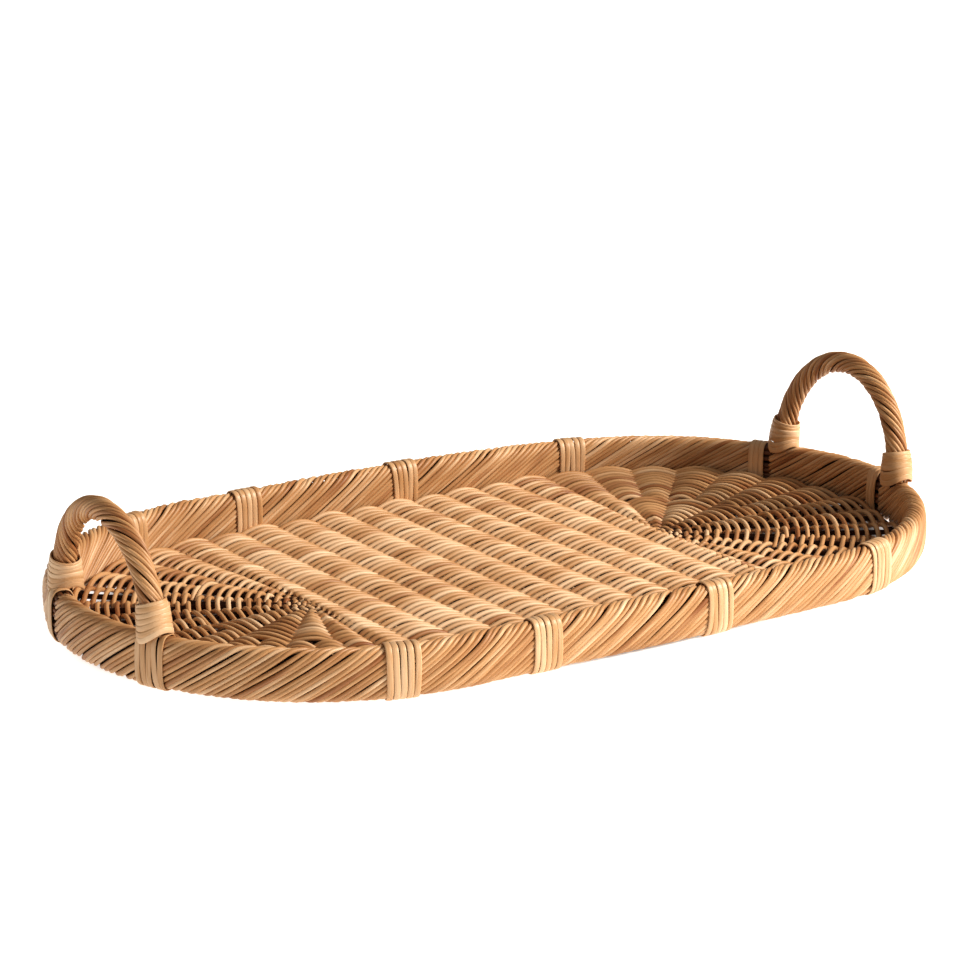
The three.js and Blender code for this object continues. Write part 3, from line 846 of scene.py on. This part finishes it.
class TRAY_OT_lashings(Operator):
    """Lashes the handles' feet: flat split cane wound round and round, wider below"""

    bl_idname = "tray.lashings"
    bl_label = "Handle Lashings"

    def execute(self, context):
        sizes = context.scene.tray_handle
        half_strip = context.scene.tray_border.strip / 2
        rng = np.random.default_rng(SEED + 5)
        for name, handle in HANDLES.items():
            line, along = handle_line(handle, 400, 0)
            _, first, second = around(line)
            for foot in ("near", "far"):
                wide = sizes.lashing / LASHING_TURNS
                angle = np.linspace(0, LASHING_TURNS * TURN, LASHING_TURNS * 36)[None, :]
                climb = np.linspace(wide / 2, sizes.lashing - wide / 2, angle.shape[1])[None, :]
                climb = climb + 0.25 * MM * drift(rng, 1, angle, 4.0)
                levels = np.array((0, 0.5, 1)) * sizes.lashing
                radius = np.interp(climb, levels, LASHING_RADII)
                radius = radius + 0.12 * MM * drift(rng, 1, angle, 3.0)
                # The lower turns drape over the border's two sides.
                low_share = np.clip(1 - climb / (LASHING_DRAPE_SHARE * sizes.lashing), 0, 1)
                drape = LASHING_DRAPE * low_share * np.cos(angle) ** 2
                spot = climb if foot == "near" else along[-1] - climb
                centre = np.stack([np.interp(spot, along, line[:, i]) for i in range(3)], -1)
                a = np.stack([np.interp(spot, along, first[:, i]) for i in range(3)], -1)
                b = np.stack([np.interp(spot, along, second[:, i]) for i in range(3)], -1)
                direction = np.cos(angle)[..., None] * a + np.sin(angle)[..., None] * b
                paths = centre + direction * radius[..., None] - drape[..., None] * UP
                tone = np.clip(0.78 + 0.08 * drift(rng, 1, angle, 5.0), 0.5, 0.98)
                weft = Weft()
                weft.sweep(paths, flat_profile(half_strip, wide * 0.75), direction, 1.0, tone)
                node = f"handle_lashing_{name}_{foot}"
                weft.build(f"lashed_foot_{name}_{foot}", split_cane(), [node])
        return {"FINISHED"}


# ---------------------------------------------------------------- stage


def bearing(name, description, radians):
    """A property for an angle."""
    return FloatProperty(name=name, description=description, default=radians, subtype="ANGLE")


class TrayStage(PropertyGroup):
    """Light and camera."""

    turn: bearing("Camera turn", "Turn of the camera about the tray", math.radians(-34.76))
    raise_: bearing("Camera height", "Angle of the camera above the floor", math.radians(17.72))
    roll: bearing("Camera roll", "Tilt of the picture", 0.0058)
    away: size("Camera distance", "Distance of the camera from the tray's middle", 2338)
    lens: FloatProperty(name="Lens", description="Focal length in millimetres", default=118.6)
    light_turn: bearing("Light turn", "Direction of the key light about the tray", math.radians(-42))
    light_raise: bearing("Light height", "Angle of the key light above the floor", math.radians(33))
    key: FloatProperty(
        name="Key light", description="Power of the key light", default=255.0, unit="POWER"
    )
    fill: FloatProperty(
        name="Room light", description="Strength of the light from all round", default=0.3
    )
    glow: FloatProperty(
        name="Table glow", description="Strength of the light through the table", default=0.92
    )
    floor: colour("Floor", "Colour of the studio floor", "C9C8C6")


class TRAY_OT_stage(Operator):
    """Sets the stage: a plain pale floor, a soft key light, light from all round and the camera"""

    bl_idname = "tray.stage"
    bl_label = "Stage"

    def execute(self, context):
        scene, stage = context.scene, context.scene.tray_stage
        half = FLOOR_HALF
        mesh = bpy.data.meshes.new("studio_floor")
        corners = [(-half, -half, 0), (half, -half, 0), (half, half, 0), (-half, half, 0)]
        mesh.from_pydata(corners, [], [(0, 1, 2, 3)])
        ground = bpy.data.objects.new("studio_floor", mesh)
        scene.collection.objects.link(ground)
        # A backlit sheet, so that the floor stays white round the tray and shadows on it are faint.
        paint = bpy.data.materials.new("backlit white acrylic sheet")
        paint.use_nodes = True
        shader = paint.node_tree.nodes["Principled BSDF"]
        shader.inputs["Emission Color"].default_value = (1, 1, 1, 1)
        self.add_glow(paint.node_tree, shader, stage.glow)
        shader.inputs["Base Color"].default_value = (*stage.floor, 1)
        shader.inputs["Roughness"].default_value = 0.9
        shader.inputs["Specular IOR Level"].default_value = 0.1
        mesh.materials.append(paint)
        world = bpy.data.worlds.new("studio")
        world.use_nodes = True
        glow = world.node_tree.nodes["Background"]
        glow.inputs["Color"].default_value = (1.0, 0.94, 0.86, 1)
        glow.inputs["Strength"].default_value = stage.fill
        scene.world = world
        light = bpy.data.lights.new("key", "AREA")
        light.shape = "DISK"
        light.size = KEY_SIZE
        light.energy = stage.key
        light.color = (1.0, 0.95, 0.89)
        lamp = bpy.data.objects.new("key", light)
        azimuth, height, reach = stage.light_turn, stage.light_raise, KEY_AWAY
        lamp.location = (
            reach * math.cos(azimuth) * math.cos(height),
            reach * math.sin(azimuth) * math.cos(height),
            reach * math.sin(height),
        )
        lamp.rotation_mode = "QUATERNION"
        lamp.rotation_quaternion = (-lamp.location).to_track_quat("-Z", "Y")
        scene.collection.objects.link(lamp)
        self.add_camera(scene, stage)
        scene.view_settings.view_transform = "Standard"
        scene.view_settings.look = "None"
        scene.view_settings.gamma = 0.86
        return {"FINISHED"}

    def add_glow(self, tree, shader, glow):
        """Lights the sheet from below everywhere but under the tray, where a mask keeps it dark as a
        painted shadow under the tray: the glow rises over an ellipse a little smaller than the tray."""
        low, high = CAD_BOX
        place = add_node(tree, "ShaderNodeTexCoord")
        inside = add_node(
            tree,
            "ShaderNodeMapping",
            {"Scale": (1 / high[0], 1 / high[1], 1)},
            {"Vector": place.outputs["Object"]},
        )
        reach = add_node(
            tree, "ShaderNodeVectorMath", {"operation": "LENGTH"}, {0: inside.outputs["Vector"]}
        )
        rise = add_node(
            tree,
            "ShaderNodeMapRange",
            {
                "interpolation_type": "SMOOTHSTEP",
                "From Min": 0.92,
                "From Max": 1.0,
                "To Min": 0.05,
                "To Max": glow,
            },
            {"Value": reach.outputs["Value"]},
        )
        tree.links.new(rise.outputs["Result"], shader.inputs["Emission Strength"])

    def add_camera(self, scene, stage):
        """Puts the camera on a sphere round the tray's middle, looking at it, then rolls it."""
        turn, height = stage.turn, stage.raise_
        back = Vector(
            (math.sin(turn) * math.cos(height), -math.cos(turn) * math.cos(height), math.sin(height))
        )
        right = Vector((math.cos(turn), math.sin(turn), 0))
        up = back.cross(right)
        c, s = math.cos(stage.roll), math.sin(stage.roll)
        axes = (right * c + up * s, up * c - right * s, back)
        lens = bpy.data.cameras.new("camera")
        lens.lens, lens.sensor_width = stage.lens, 36
        lens.shift_x, lens.shift_y = -0.0210, 0.1006
        lens.clip_start, lens.clip_end = 0.05, 60
        camera = bpy.data.objects.new("camera", lens)
        place = Matrix((axes[0], axes[1], axes[2])).transposed().to_4x4()
        place.translation = back * stage.away
        camera.matrix_world = place
        scene.collection.objects.link(camera)
        scene.camera = camera


# ---------------------------------------------------------------- panel and run


class TRAY_PT_panel(Panel):
    """Lists the tray's pieces and sizes"""

    bl_idname = "TRAY_PT_panel"
    bl_label = "Woven Cane Tray"
    bl_space_type = "VIEW_3D"
    bl_region_type = "UI"
    bl_category = "Cane Tray"

    def draw(self, context):
        for name in OPERATORS:
            self.layout.operator("tray." + name)
        for group in GROUPS:
            box = self.layout.box()
            settings = getattr(context.scene, group)
            for prop in settings.__annotations__:
                box.prop(settings, prop)


OPERATORS = ("stakes", "weave", "border", "bindings", "handles", "lashings", "stage")
GROUPS = {
    "tray_floor": TrayFloor,
    "tray_border": TrayBorder,
    "tray_handle": TrayHandle,
    "tray_colours": TrayColours,
    "tray_stage": TrayStage,
}
CLASSES = (
    *GROUPS.values(),
    TRAY_OT_stakes,
    TRAY_OT_weave,
    TRAY_OT_border,
    TRAY_OT_bindings,
    TRAY_OT_handles,
    TRAY_OT_lashings,
    TRAY_OT_stage,
    TRAY_PT_panel,
)


def register():
    """Registers the classes and hangs the settings on the scene."""
    for item in CLASSES:
        bpy.utils.register_class(item)
    for name, group in GROUPS.items():
        setattr(bpy.types.Scene, name, PointerProperty(type=group))


def unregister():
    """Takes the settings and classes away again."""
    for name in GROUPS:
        delattr(bpy.types.Scene, name)
    for item in reversed(CLASSES):
        bpy.utils.unregister_class(item)


def main():
    """Builds every piece."""
    register()
    for name in OPERATORS:
        getattr(bpy.ops.tray, name)()


if __name__ == "__main__":
    main()
